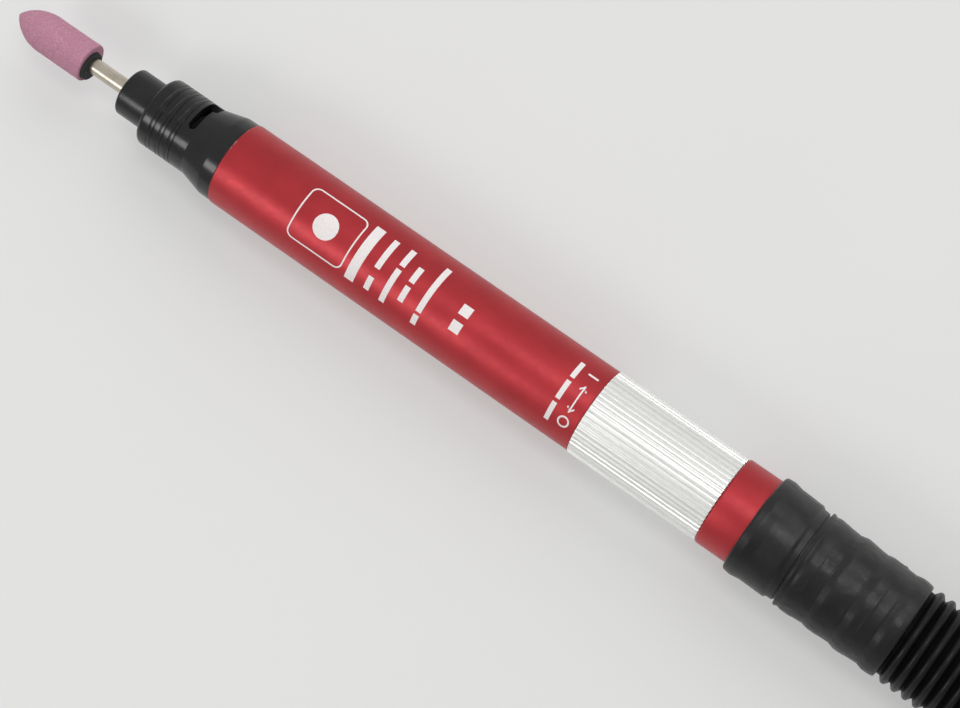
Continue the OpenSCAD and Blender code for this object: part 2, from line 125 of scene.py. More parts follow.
def rounded(points, step=0.2):
    """[(x, r, fillet)] to [(x, r)]: filleted corners become arcs of about step radians."""
    out = []
    for i, (x, r, fillet) in enumerate(points):
        before, after = points[i - 1], points[(i + 1) % len(points)]
        corner = Vector((x, r))
        to_before = Vector((before[0] - x, before[1] - r))
        to_after = Vector((after[0] - x, after[1] - r))
        if fillet <= 0 or to_before.length < 1e-9 or to_after.length < 1e-9:
            out.append((x, r))
            continue
        len_before, len_after = to_before.length, to_after.length
        to_before, to_after = to_before / len_before, to_after / len_after
        angle = math.acos(max(-1, min(1, to_before.dot(to_after))))
        if angle > math.pi - 0.02:      # almost straight
            out.append((x, r))
            continue
        cut = min(fillet / math.tan(angle / 2), len_before * 0.48, len_after * 0.48)
        rad = cut * math.tan(angle / 2)
        first = corner + to_before * cut
        last = corner + to_after * cut
        centre = corner + (to_before + to_after).normalized() * (rad / math.sin(angle / 2))
        start = math.atan2(first.y - centre.y, first.x - centre.x)
        end = math.atan2(last.y - centre.y, last.x - centre.x)
        sweep = (end - start + math.pi) % TURN - math.pi
        count = max(3, int(abs(sweep) / step) + 1)
        for j in range(count + 1):
            at = start + sweep * j / count
            out.append((centre.x + rad * math.cos(at), centre.y + rad * math.sin(at)))
    return out


def dense(profile, step, closed=True):
    """Splits the profile's segments so that none is longer than step."""
    out = []
    count = len(profile)
    for i in range(count if closed else count - 1):
        a, b = profile[i], profile[(i + 1) % count]
        parts = max(1, int(math.ceil(math.hypot(b[0] - a[0], b[1] - a[1]) / step)))
        for j in range(parts):
            t = j / parts
            out.append((a[0] + (b[0] - a[0]) * t, a[1] + (b[1] - a[1]) * t))
    if not closed:
        out.append(profile[-1])
    return out


def solid(name, verts, faces, weld=False):
    """A linked object from vertices in mm, its faces turned outwards."""
    mesh = bpy.data.meshes.new(name)
    mesh.from_pydata((np.array(verts) * MM).tolist(), [], faces)
    bm = bmesh.new()
    bm.from_mesh(mesh)
    if weld:
        bmesh.ops.remove_doubles(bm, verts=bm.verts, dist=1e-7)
    bmesh.ops.recalc_face_normals(bm, faces=bm.faces)
    bm.to_mesh(mesh)
    bm.free()
    ob = bpy.data.objects.new(name, mesh)
    scene.collection.objects.link(ob)
    return ob


def smooth(ob, sharp):
    """Smooth shading, broken at edges of more than sharp degrees."""
    for face in ob.data.polygons:
        face.use_smooth = True
    ob.data.set_sharp_from_angle(angle=math.radians(sharp))
    return ob


def lathe(name, profile, segs, closed=True, move=None, sharp=32):
    """Revolves (x, r) points about X. closed joins the last point to the first;
    move takes the vertices and gives them back changed."""
    angles = np.arange(segs) * 2 * math.pi / segs
    rings, verts = [], []
    for x, r in profile:
        if r < 1e-6:
            rings.append([len(verts)])
            verts.append((x, 0.0, 0.0))
        else:
            rings.append(list(range(len(verts), len(verts) + segs)))
            verts += [(x, r * math.cos(a), r * math.sin(a)) for a in angles]
    faces = []
    for a, b in zip(rings, rings[1:] + ([rings[0]] if closed else [])):
        for i in range(segs):
            j = (i + 1) % segs
            if len(a) == 1:
                faces.append((a[0], b[i], b[j]))
            elif len(b) == 1:
                faces.append((a[i], b[0], a[j]))
            else:
                faces.append((a[i], b[i], b[j], a[j]))
    verts = np.array(verts)
    if move is not None:
        verts = move(verts)
    return smooth(solid(name, verts, faces, weld=True), sharp)


def field(name, xs, angles, outer, inner, sharp):
    """A tube whose outer and inner radii are functions of (x, angle)."""
    nx, na = len(xs), len(angles)
    X, A = np.meshgrid(xs, angles, indexing="ij")
    walls = []
    for wall in (outer, inner):
        R = wall(X, A)
        walls.append(np.stack([X, R * np.cos(A), R * np.sin(A)], -1).reshape(-1, 3))
    faces = []
    o = nx * na                         # index of the first inner vertex
    for i in range(nx - 1):
        for j in range(na):
            k = (j + 1) % na
            a, b, c, d = i * na + j, (i + 1) * na + j, (i + 1) * na + k, i * na + k
            faces.append((a, b, c, d))
            faces.append((o + a, o + d, o + c, o + b))
    for i in (0, nx - 1):
        for j in range(na):
            k = (j + 1) % na
            faces.append((i * na + j, i * na + k, o + i * na + k, o + i * na + j))
    return smooth(solid(name, np.concatenate(walls), faces, weld=True), sharp)


def ease(t):
    """A smooth step from 0 to 1."""
    return t * t * (3 - 2 * t)


def fbm(points, size, octaves, seed):
    """Fractal noise, about -1 to 1, with features of the given size in mm."""
    shift = Vector((seed * 17.3, seed * 5.1 + 3.0, seed * 9.7))
    return np.array([
        noise.fractal(Vector(p) / size + shift, 1.0, 2.0, octaves) for p in points
    ])


def off_axis(verts):
    return np.hypot(verts[:, 1], verts[:, 2])


def raise_skin(verts, skin, height):
    """A copy with the skin vertices pushed out from the axis; pole points stay."""
    rad = off_axis(verts)
    shift = np.zeros(len(verts))
    shift[skin] = height
    scale = np.where(rad > 0.02, (rad + shift) / np.maximum(rad, 0.02), 1)
    verts = verts.copy()
    verts[:, 1] *= scale
    verts[:, 2] *= scale
    return verts


# ---------------------------------------------------------------- material builder


class Material:
    """Builds one node tree round a Principled shader, in object coordinates (metres)."""

    def __init__(self, name):
        self.material = bpy.data.materials.new(name)
        self.material.use_nodes = True
        self.tree = self.material.node_tree
        self.tree.nodes.clear()
        output = self.add("OutputMaterial")
        self.shader = self.add("BsdfPrincipled")
        self.feed(output.inputs[0], self.shader.outputs[0])
        self.coords = self.add("TexCoord").outputs["Object"]
        self.split = None

    def add(self, kind):
        return self.tree.nodes.new("ShaderNode" + kind)

    def feed(self, socket, value):
        """Links an output to the socket, or sets a plain value on it."""
        if isinstance(value, bpy.types.NodeSocket):
            self.tree.links.new(value, socket)
        else:
            socket.default_value = value

    def put(self, key, value):
        self.feed(self.shader.inputs[key], value)

    def axis(self, letter):
        if self.split is None:
            self.split = self.add("SeparateXYZ")
            self.feed(self.split.inputs[0], self.coords)
        return self.split.outputs[letter]

    def math(self, operation, first, second=0.0, clamp=False):
        node = self.add("Math")
        node.operation = operation
        node.use_clamp = clamp
        for socket, value in zip(node.inputs, (first, second, 0.0)):
            self.feed(socket, value)
        return node.outputs[0]

    def times(self, first, second):
        return self.math("MULTIPLY", first, second)

    def noise(self, scale, detail=3.0, rough=0.5, vector=None):
        """scale is features per unit of the vector, which is the object's metres by default."""
        node = self.add("TexNoise")
        node.inputs["Scale"].default_value = scale
        node.inputs["Detail"].default_value = detail
        node.inputs["Roughness"].default_value = rough
        self.feed(node.inputs["Vector"], vector or self.coords)
        return node.outputs[0]

    def remap(self, value, between, to=(0, 1)):
        node = self.add("MapRange")
        for socket, number in zip(node.inputs, (value, *between, *to)):
            self.feed(socket, number)
        return node.outputs[0]

    def patches(self, scale, detail=3.0, between=(0.3, 0.7), to=(0, 1)):
        """Noise stretched from one range to another."""
        return self.remap(self.noise(scale, detail), between, to)

    def around(self, scale, detail=2.0):
        """Noise that varies only round the tool's axis."""
        angle = self.math("ARCTAN2", self.axis("Z"), self.axis("Y"))
        circle = self.add("CombineXYZ")
        self.feed(circle.inputs[0], self.math("COSINE", angle))
        self.feed(circle.inputs[1], self.math("SINE", angle))
        return self.noise(scale, detail, vector=circle.outputs[0])

    def turning(self, pitch):
        """Fine turning marks: noise that varies almost only along the axis."""
        squeeze = self.add("Mapping")
        squeeze.inputs["Scale"].default_value = (1.0, 0.004, 0.004)
        self.feed(squeeze.inputs[0], self.coords)
        return self.noise(1.0 / pitch, detail=2.0, rough=0.6, vector=squeeze.outputs[0])

    def mix(self, factor, first, second):
        node = self.add("Mix")
        node.data_type = "RGBA"
        self.feed(node.inputs[0], factor)
        for socket, colour in ((node.inputs[6], first), (node.inputs[7], second)):
            self.feed(socket, (*colour, 1) if isinstance(colour, tuple) else colour)
        return node.outputs[2]

    def bump(self, height, distance, strength, over=None):
        """over is an earlier bump that this one is laid on."""
        node = self.add("Bump")
        node.inputs["Strength"].default_value = strength
        node.inputs["Distance"].default_value = distance
        self.feed(node.inputs["Height"], height)
        if over is not None:
            self.feed(node.inputs["Normal"], over)
        return node.outputs[0]

    def edge(self, reach):
        """0 on open faces, rising where a bevelled normal leaves the plain one."""
        bevel = self.add("Bevel")
        bevel.samples = 4
        bevel.inputs[0].default_value = reach
        plain_normal = self.add("NewGeometry").outputs["Normal"]
        dot = self.add("VectorMath")
        dot.operation = "DOT_PRODUCT"
        self.feed(dot.inputs[0], bevel.outputs[0])
        self.feed(dot.inputs[1], plain_normal)
        return self.math("SUBTRACT", 1.0, dot.outputs["Value"], clamp=True)


# ---------------------------------------------------------------- materials


def red_anodised():
    m = Material("red_anodised")
    colour = m.mix(m.patches(scale=160, between=(0.35, 0.65)),
                   (0.43, 0.023, 0.031), (0.485, 0.028, 0.037))
    # bare metal in nicks along the barrel's front edge, mostly on the +Y side
    rim = m.remap(m.axis("X"), between=(0.00012, 0.00028), to=(1, 0))
    nick = m.remap(m.around(scale=4.5, detail=4), between=(0.52, 0.64))
    side = m.remap(m.axis("Y"), between=(-0.004, 0.002), to=(0.15, 1))
    bare = m.math("MULTIPLY", m.times(rim, nick), side, clamp=True)
    m.put("Base Color", m.mix(bare, colour, (0.66, 0.60, 0.58)))
    m.put("Metallic", 0.82)
    m.put("Roughness", m.patches(scale=900, to=(0.45, 0.54)))
    m.put("Coat Weight", 0.42)
    m.put("Coat Roughness", 0.38)
    lines = m.bump(m.turning(pitch=0.00022), distance=0.000004, strength=0.35)
    grain = m.noise(scale=5200, detail=2, rough=0.7)
    m.put("Normal", m.bump(grain, distance=0.000006, strength=0.35, over=lines))
    return m.material


def black_satin(name, rough, painted_glint_stations=()):
    """The last argument lists stations, in mm, of groove lips that get a painted highlight: pale
    lines on their +Y side.
    """
    m = Material(name)
    black = 0.007
    # pale edges: edge wear, and also a painted highlight along edges that have no bevel
    worn_edge_and_glint = m.times(m.remap(m.edge(reach=0.00018), between=(0.02, 0.16)),
                   m.patches(scale=700, detail=4, between=(0.48, 0.62)))
    colour = m.mix(m.patches(scale=260, detail=4, between=(0.35, 0.7)),
                   (black, black, black * 1.04), (black * 1.6, black * 1.6, black * 1.65))
    colour = m.mix(m.times(worn_edge_and_glint, 0.3), colour, (0.16, 0.16, 0.16))
    # painted highlight: pale grey lines along the +Y side of the listed groove lips, in place of
    # lamp glints on them
    if painted_glint_stations:
        glint_mask = None
        for station in painted_glint_stations:
            off = m.math("ABSOLUTE", m.math("SUBTRACT", m.axis("X"), station * MM))
            line = m.remap(off, between=(0.00008, 0.0002), to=(1, 0))
            glint_mask = line if glint_mask is None else m.math("ADD", glint_mask, line, clamp=True)
        side = m.remap(m.axis("Y"), between=(0.0002, 0.0026))
        broken = m.patches(scale=900, detail=2, between=(0.3, 0.62), to=(0.25, 1))
        glint_mask = m.times(glint_mask, m.times(side, broken))
        colour = m.mix(m.times(glint_mask, 0.5), colour, (0.085, 0.085, 0.083))
    m.put("Base Color", colour)
    m.put("Specular IOR Level", 0.42)
    m.put("Roughness", m.patches(scale=1500, to=(rough - 0.03, rough + 0.05)))
    lines = m.bump(m.turning(pitch=0.00016), distance=0.000004, strength=0.35)
    grain = m.noise(scale=6000, detail=2)
    m.put("Normal", m.bump(grain, distance=0.000004, strength=0.25, over=lines))
    return m.material


def steel(name, colour, rough, axial=False):
    """axial runs the fine lines along the axis instead of round it."""
    m = Material(name)
    dark = tuple(c * 0.82 for c in colour)
    m.put("Base Color", m.mix(m.patches(scale=420, detail=4, between=(0.35, 0.7)), colour, dark))
    m.put("Metallic", 1.0)
    m.put("Roughness", m.patches(scale=1700, to=(rough - 0.05, rough + 0.07)))
    lines = m.around(scale=60, detail=3) if axial else m.turning(pitch=0.00014)
    m.put("Normal", m.bump(lines, distance=0.000006, strength=0.5))
    return m.material


def knurled_aluminium():
    m = Material("knurled_aluminium")
    m.put("Base Color", m.mix(m.patches(scale=380, detail=4),
                              (0.885, 0.885, 0.865), (0.86, 0.86, 0.84)))
    m.put("Metallic", 0.7)
    m.put("Roughness", m.patches(scale=2400, to=(0.28, 0.36)))
    lines = m.bump(m.around(scale=200), distance=0.000004, strength=0.08)
    grain = m.noise(scale=7000, detail=2)
    m.put("Normal", m.bump(grain, distance=0.000003, strength=0.2, over=lines))
    return m.material


def stone_grain():
    m = Material("stone_grain")
    cells = m.add("TexVoronoi")
    cells.inputs["Scale"].default_value = 5200
    m.feed(cells.inputs["Vector"], m.coords)
    channels = m.add("SeparateColor")
    m.feed(channels.inputs[0], cells.outputs["Color"])
    # one pink for each grain: position on the ramp, colour
    stops = [
        (0.0, (0.40, 0.178, 0.245)), (0.35, (0.445, 0.205, 0.28)),
        (0.75, (0.475, 0.225, 0.303)), (1.0, (0.54, 0.285, 0.36)),
    ]
    ramp = m.add("ValToRGB")
    elements = ramp.color_ramp.elements
    while len(elements) < len(stops):
        elements.new(0.5)
    for element, (position, colour) in zip(elements, stops):
        element.position = position
        element.color = (*colour, 1)
    m.feed(ramp.inputs[0], channels.outputs[0])
    cloud = m.patches(scale=330, detail=4, to=(0, 0.35))
    m.put("Base Color", m.mix(cloud, ramp.outputs[0], (0.42, 0.195, 0.275)))
    m.put("Roughness", 0.85)
    m.put("Specular IOR Level", 0.35)
    m.put("Subsurface Weight", 0.06)
    m.put("Subsurface Radius", (0.0006, 0.0003, 0.0003))
    rough = m.bump(m.noise(scale=4200, detail=4, rough=0.65), distance=0.00004, strength=0.6)
    m.put("Normal", m.bump(cells.outputs["Distance"], distance=0.00003, strength=0.4, over=rough))
    return m.material


def rubber(name, base, rough, dust, spec=0.34, painted_side_shade=False, ribbed=False):
    """handled paints shade on the -Y side: less dust and less shine there, more on +Y; ribbed
    paints shade in the grooves, cutting their shine by the crest attribute.
    """
    m = Material(name)
    cloud = m.noise(scale=230, detail=5, rough=0.6)
    dust_and_side_shade = m.times(m.remap(cloud, between=(0.42, 0.72)), dust)
    # painted shade: the pale dust thinned on the -Y side and thickened on +Y, so the -Y side is
    # darker
    if painted_side_shade:
        dust_and_side_shade = m.times(dust_and_side_shade, m.remap(m.axis("Y"), between=(-0.003, 0.003), to=(0.1, 1.5)))
    colour = m.mix(dust_and_side_shade, (base, base, base), (base * 3.0, base * 3.0, base * 2.85))
    spots = m.patches(scale=1400, between=(0.62, 0.8), to=(0, 0.3))
    m.put("Base Color", m.mix(spots, colour, (base * 3.6, base * 3.6, base * 3.4)))
    m.put("Roughness", m.remap(cloud, between=(0.3, 0.7), to=(rough - 0.06, rough + 0.1)))
    # painted shade: less shine on the -Y side than on +Y
    if painted_side_shade:
        spec = m.remap(m.axis("Y"), between=(-0.004, 0.002), to=(spec * 0.62, spec * 1.08))
    elif ribbed:
        # painted shade: shine cut almost to nothing in the grooves, darkening them
        crest = m.add("Attribute")
        crest.attribute_name = "crest"
        spec = m.remap(crest.outputs["Fac"], between=(0.1, 0.85), to=(0.03, spec))
    m.put("Specular IOR Level", spec)
    m.put("Sheen Weight", 0.0 if ribbed else 0.06)
    m.put("Sheen Roughness", 0.5)
    grain = m.bump(m.noise(scale=3000, rough=0.6), distance=0.00003, strength=0.35)
    m.put("Normal", m.bump(m.noise(scale=420), distance=0.00012, strength=0.3, over=grain))
    return m.material


def plain(name, colour, rough, scale, bump):
    """A dull, mottled surface; bump is its grain's height."""
    m = Material(name)
    dark = tuple(c * 0.8 for c in colour)
    tone = m.patches(scale=scale * 0.35, detail=4, between=(0.35, 0.7))
    m.put("Base Color", m.mix(tone, colour, dark))
    m.put("Metallic", 0.0)
    m.put("Roughness", m.patches(scale=scale, to=(rough - 0.05, rough + 0.08)))
    m.put("Normal", m.bump(m.noise(scale=scale * 3), distance=bump, strength=0.5))
    return m.material


def print_ink():
    m = Material("print_ink")
    gaps = m.remap(m.noise(scale=5200, rough=0.6), between=(0.56, 0.72), to=(0, 0.5))
    m.put("Base Color", m.mix(gaps, (0.80, 0.76, 0.75), (0.55, 0.25, 0.26)))
    m.put("Roughness", 0.55)
    return m.material


# by material slot
MATERIALS = {
    "stone": stone_grain(),
    "black_bush": plain("black_bush", (0.011, 0.011, 0.011), rough=0.7, scale=1800, bump=0.00003),
    "shank_steel": steel("shank_steel", (0.66, 0.60, 0.50), rough=0.33, axial=True),
    "black_steel": black_satin("black_steel", rough=0.25),
    "spring_steel": steel("spring_steel", (0.42, 0.42, 0.44), rough=0.28),
    "steel": steel("steel", (0.46, 0.46, 0.48), rough=0.3),
    # the nose, with painted highlight lines on the left groove of each pair
    "black_anodised": black_satin(
        "black_anodised", rough=0.19,
        painted_glint_stations=[NOSE_STEP - pair - GROOVE_OFFSET for pair in GROOVE_PAIRS]),
    "felt": plain("felt", (0.10, 0.10, 0.09), rough=0.95, scale=2600, bump=0.00006),
    "bearing_steel": steel("bearing_steel", (0.60, 0.60, 0.62), rough=0.12),
    "phenolic": plain("phenolic", (0.25, 0.13, 0.06), rough=0.6, scale=1500, bump=0.00003),
    "bare_aluminium": steel("bare_aluminium", (0.72, 0.72, 0.73), rough=0.33),
    "brass": steel("brass", (0.73, 0.52, 0.22), rough=0.24),
    "seal_rubber": rubber("seal_rubber", base=0.015, rough=0.45, dust=0.1),
    "knurled_aluminium": knurled_aluminium(),
    "red_anodised": red_anodised(),
    "air_hose_rubber": rubber("air_hose_rubber", base=0.02, rough=0.5, dust=0.2),
    # the cuff, with painted shade on its -Y side
    "cuff_rubber": rubber("cuff_rubber", base=0.009, rough=0.37, dust=0.6, spec=0.36,
                          painted_side_shade=True),
    "hose_rubber": rubber("hose_rubber", base=0.003, rough=0.36, dust=0.2, spec=0.24,
                          ribbed=True),
}
INK = print_ink()

for subpart in frame["record"]["subparts"]:
    cad = NODES[subpart["node"]]
    cad.data.materials.clear()
    cad.data.materials.append(MATERIALS[subpart["material_slot"]])
    smooth(cad, 28)


def place(ob, slot, body, node):
    """Gives a rigid piece its material and body, in place of a CAD node."""
    ob.data.materials.append(MATERIALS[slot])
    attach(ob, body)
    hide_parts(node)


def place_soft(ob, slot, node):
    """Gives a hose its material in place of a CAD node and bakes its transform into the mesh, with
    no body; the hose bends between the barrel and the hose's end.
    """
    ob.data.materials.append(MATERIALS[slot])
    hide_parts(node)
    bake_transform(ob)


# Profiles below are (x, r, fillet) unless noted.

# ---------------------------------------------------------------- stone, collar and shank


def build_stone():
    """A pointed stone: an arc from the tip, then a straight flank, closed down to the shank."""
    point = 7.0                                         # length of the pointed part
    arc = (R_STONE ** 2 + point ** 2) / (2 * R_STONE)   # radius of its side
    shoulder = STONE0 - 0.04 + point
    profile = [(STONE0, 0.0)]
    for i in range(1, 40):
        t = point * (1 - i / 40)
        profile.append((shoulder - t, max(0.05, R_STONE - arc + math.sqrt(arc * arc - t * t))))
    profile.append((shoulder, R_STONE))
    profile += rounded([
        (shoulder, R_STONE, 0), (STONE1 - 1.6, R_STONE - 0.02, 0.6), (STONE1, R_STONE + 0.03, 0.3),
        (STONE1, R_SHANK, 0), (SHANK0, R_SHANK, 0), (SHANK0, 0, 0),
    ])[1:]

    def roughen(verts):
        x, rad = verts[:, 0], off_axis(verts)
        flank = (x < STONE1 - 3.0) & (rad > R_SHANK + 0.02)
        skin = (rad > 3.0) | flank | (x < SHANK0 - 0.5)
        p = verts[skin]
        height = 0.036 * fbm(p, 0.42, 4, 1) + 0.02 * fbm(p, 0.16, 2, 2) + 0.03 * fbm(p, 2.2, 2, 3)
        height -= 0.07 * np.clip(fbm(p, 0.33, 2, 4) - 0.45, 0, 1)       # pits
        return raise_skin(verts, skin, np.clip(height, -0.16, 0.05) - 0.03)

    return lathe("stone_body", dense(profile, 0.11, closed=False), 224, closed=False,
                 move=roughen, sharp=180)


place(build_stone(), "stone", "point_group", "grinding_stone")


def build_collar():
    """Sits a little off centre in Y, with its bore on the shank."""
    lo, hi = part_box("stone_bushing")
    r = (hi.z - lo.z) / 2 / MM
    offset = (hi.y + lo.y) / 2 / MM
    front = STONE1 - 0.05
    profile = dense(rounded([
        (front, R_SHANK, 0), (front, r + 0.06, 0.02), (STONE1 + 0.12, r + 0.02, 0.08),
        (COLLAR1 - 0.1, r - 0.03, 0.26), (COLLAR1, r - 0.5, 0.2),
        (COLLAR1 - 0.06, R_SHANK + 0.25, 0.1), (COLLAR1 - 0.12, R_SHANK, 0.04),
    ]), 0.12)

    def shift(verts):
        rad = off_axis(verts)
        skin = rad > R_SHANK + 0.1
        p = verts[skin]
        verts = raise_skin(verts, skin, 0.03 * fbm(p, 0.9, 3, 31) + 0.012 * fbm(p, 0.25, 2, 32))
        verts[:, 1] += offset * np.clip((rad - R_SHANK) / 0.9, 0, 1)
        return verts

    return lathe("stone_collar", profile, 160, move=shift)


place(build_collar(), "black_bush", "point_group", "stone_bushing")

place(lathe("shank", rounded([
    (SHANK0, 0, 0), (SHANK0, R_SHANK, 0.05), (SHANK1, R_SHANK, 0.25), (SHANK1, 0, 0),
]), 128, closed=False), "shank_steel", "point_group", "mandrel")

# ---------------------------------------------------------------- nut

place(lathe("round_nut", rounded([
    (NUT0, 1.75, 0.12), (NUT0, R_NUT, 0.5), (NUT1, R_NUT, 0.15), (NUT1, 3.55, 0.1),
    (NUT0 + 1.55, 3.55, 0.1), (NUT0 + 1.0, 1.95, 0), (NUT0 + 1.0, 1.75, 0),
]), 192), "black_steel", "nut_group", "collet_nut")

# ---------------------------------------------------------------- nose


def sector(name, path, r0, r1):
    """A closed cutter between two radii. path is [(angle, x0, x1)] round the axis."""
    verts, faces = [], []
    for angle, x0, x1 in path:
        for x, r in ((x0, r0), (x0, r1), (x1, r1), (x1, r0)):
            verts.append((x, r * math.cos(angle), r * math.sin(angle)))
    for i in range(0, 4 * (len(path) - 1), 4):
        for j in range(4):
            k = (j + 1) % 4
            faces.append((i + j, i + k, i + 4 + k, i + 4 + j))
    last = 4 * len(path) - 4
    faces += [(3, 2, 1, 0), tuple(last + j for j in range(4))]
    return solid(name, verts, faces)


def slot_cutters():
    """The spanner slot, and a wider opening along part of it, about the CAD mount's angle."""
    mount = next(m for m in frame["record"]["mounts"] if m["name"] == "spanner_slot")
    middle = math.atan2(mount["axis"][2], mount["axis"][1])
    start, end = middle - math.radians(37), middle + math.radians(37)
    front, width = NOSE_STEP - 2.0, 1.55
    centre = front + width / 2
    slot = []
    for i in range(41):
        angle = start + (end - start) * i / 40
        gap = (end - angle) * R_NOSE        # distance to the slot's rounded end
        k = math.sqrt(max(0.0, 1 - (1 - min(1, gap / 0.8)) ** 2))
        half = width / 2 * max(0.12, k)
        slot.append((angle, centre - half, centre + half))
    wide = []
    for i in range(17):
        u = i / 16
        k = math.sqrt(max(0.0, 1 - max(0, (u - 0.82) / 0.18) ** 2))
        angle = start + math.radians(0.5 + 27.5 * u)
        wide.append((angle, front + 0.3, front + 0.6 + 1.8 * max(0.2, k)))
    return sector("slot_tool", slot, 4.5, 9.0), sector("slot_tool_wide", wide, 4.4, 9.2)


def build_nose():
    profile = [(NOSE0, 4.8, 0.08), (NOSE0, R_NOSE, 1.4)]
    for pair in GROOVE_PAIRS:
        for side, half in ((-1, 0.19), (1, 0.14)):
            mid = NOSE_STEP - pair + side * GROOVE_OFFSET
            profile += [(mid - half, R_NOSE, 0.06), (mid - 0.04, R_NOSE - 0.15, 0.03),
                        (mid + 0.04, R_NOSE - 0.15, 0.03), (mid + half, R_NOSE, 0.06)]
    pocket = NUT1 + 1.2                     # floor of the pocket round the nut
    profile += [
        (NOSE_STEP, R_NOSE, 0.5), (-2.5, R_FLARE, 2.2), (0.0, R_FLARE, 0.08), (0.0, R_BORE, 0),
        (NOSE1, R_BORE, 0.2), (NOSE1, 6.0, 0.1), (1.3, 6.0, 0), (1.3, 5.4, 0.05),
        (pocket + 0.4, 5.4, 0), (pocket + 0.4, 4.2, 0.05), (pocket, 4.2, 0.05), (pocket, 4.8, 0),
    ]
    ob = lathe("nose_shell", rounded(profile), 256)
    for cutter in slot_cutters():
        cut = ob.modifiers.new("slot", "BOOLEAN")
        cut.operation = "DIFFERENCE"
        cut.solver = "EXACT"
        cut.object = cutter
        bpy.context.view_layer.update()
        depsgraph = bpy.context.evaluated_depsgraph_get()
        result = bpy.data.meshes.new_from_object(ob.evaluated_get(depsgraph))
        ob.modifiers.clear()
        ob.data = result
        ob.data.name = "nose_shell"
        bpy.data.objects.remove(cutter)
    bm = bmesh.new()
    bm.from_mesh(ob.data)
    bmesh.ops.remove_doubles(bm, verts=bm.verts, dist=2e-7)
    bmesh.ops.dissolve_degenerate(bm, edges=bm.edges, dist=1e-7)
    bm.to_mesh(ob.data)
    bm.free()
    return smooth(ob, 32)


place(build_nose(), "black_anodised", "barrel_group", "nose_cap")

# ---------------------------------------------------------------- barrel and end cap

place(lathe("barrel_tube", rounded([
    (BODY0, R_BORE, 0.1), (BODY0, R_BODY, 0.2), (BODY1, R_BODY, 0.16), (BODY1, R_BORE, 0.1),
]), 256), "red_anodised", "barrel_group", "motor_housing")

place(lathe("end_cap", rounded([
    (CAP0, 6.0, 0.05), (CAP0, R_CAP, 0.42), (NECK0, R_CAP, 0.1), (NECK0, R_NECK, 0),
    (RIDGE0, R_NECK, 0), (RIDGE0, R_RIDGE, 0.05), (RIDGE1, R_NECK, 0),
    (CAP1, R_NECK, 0.1), (CAP1, R_BORE, 0.1), (CAP0 + 6.4, R_BORE, 0), (CAP0 + 6.4, 6.0, 0),
]), 256), "red_anodised", "barrel_group", "rear_cap")

# ---------------------------------------------------------------- throttle ring


def build_ring():
    """A fluted grip, with a pocket and an end groove cut in its bore."""
    flutes = 52
    pitch = TURN / flutes
    flute_depth = 0.29
    half_land = 0.27                    # in pitches
    crown = 0.045                       # how far a land falls from its middle to its edge
    edge_fillet = 0.15
    # vertex columns across one pitch, from the middle of a flute
    columns = (-0.5, -0.42, -0.34, -0.27, -0.2, -0.1, 0.0, 0.1, 0.2, 0.27, 0.34, 0.42)
    pocket_angles = (138, 162)          # degrees round from +Y towards +Z
    groove_angle = 264                  # the groove runs from here to 360
    pocket0, pocket1 = RING0 + 9.15, RING0 + 17.55
    groove_end = RING0 + 2.35

    angles = [(k + f) * pitch for k in range(flutes) for f in columns]
    # close pairs of columns at the steps in the bore, and one more pair at 336
    for degrees in (*pocket_angles, groove_angle, 336):
        angles += [math.radians(degrees - 0.02), math.radians(degrees + 0.02)]
    angles = np.unique(np.round(np.mod(angles, TURN), 9))
    xs = [*np.linspace(RING0, RING0 + 0.2, 9), *np.linspace(RING0 + 0.2, RING1 - 0.2, 28),
          *np.linspace(RING1 - 0.2, RING1, 9)]
    for x in (pocket0, pocket1, groove_end):
        xs += [x - 0.004, x + 0.004]
    xs = np.unique(np.round(xs, 6))

    def outer(X, A):
        # slightly crowned lands, eased flanks and round-bottomed flutes
        across = np.abs(np.mod(A / pitch + 0.5, 1.0) - 0.5)
        land = R_RING - crown * (across / half_land) ** 2
        flank = ease(np.clip((across - half_land) / 0.15, 0, 1))
        flute = (R_RING - crown) - (flute_depth - crown) * flank
        r = np.where(across <= half_land, land, flute)
        # each flute varies a little, as a pressed knurl does
        r = r - 0.012 * np.sin(np.round(A / pitch) * 2.399) ** 2
        inset = np.clip(edge_fillet - np.minimum(X - RING0, RING1 - X), 0, edge_fillet)
        drop = np.sqrt(np.clip(edge_fillet ** 2 - inset ** 2, 0, 1))
        return np.minimum(r, R_RING - edge_fillet + drop)

    def inner(X, A):
        degrees = np.degrees(A)
        pocket = (degrees > pocket_angles[0]) & (degrees < pocket_angles[1])
        pocket &= (X > pocket0) & (X < pocket1)
        groove = (degrees > groove_angle) & (X < groove_end)
        return np.where(groove, 7.1, np.where(pocket, 6.9, 6.05))

    return field("grip_ring", xs, angles, outer, inner, sharp=40)


place(build_ring(), "knurled_aluminium", "ring_group", "throttle_ring")

# ---------------------------------------------------------------- bow of the soft parts

# station along X, and how far the cuff and hoses stand off the axis in Y
BOW = np.array([
    (90, 0), (110, 0), (115, -0.18), (121, -0.42), (126.6, -0.56), (132, -0.70), (138, -0.84),
    (143, -1.0), (150, -1.2), (160, -1.22), (180, -0.62), (195, -0.06), (200, 0), (225, 0),
])
BOW_X = np.arange(90.0, 225.0, 0.5)
_weights = np.exp(-0.5 * (np.arange(-16, 17) / 5.0) ** 2)
BOW_Y = np.convolve(np.pad(np.interp(BOW_X, BOW[:, 0], BOW[:, 1]), 16, mode="edge"),
                    _weights / _weights.sum(), mode="valid")


def sag(x):
    """The bow in Y at station x, smoothed from the table."""
    return np.interp(x, BOW_X, BOW_Y)


# ---------------------------------------------------------------- cuff

CREASES = (10.35, 15.6, 20.95, 26.55, 32.2)     # from CUFF0
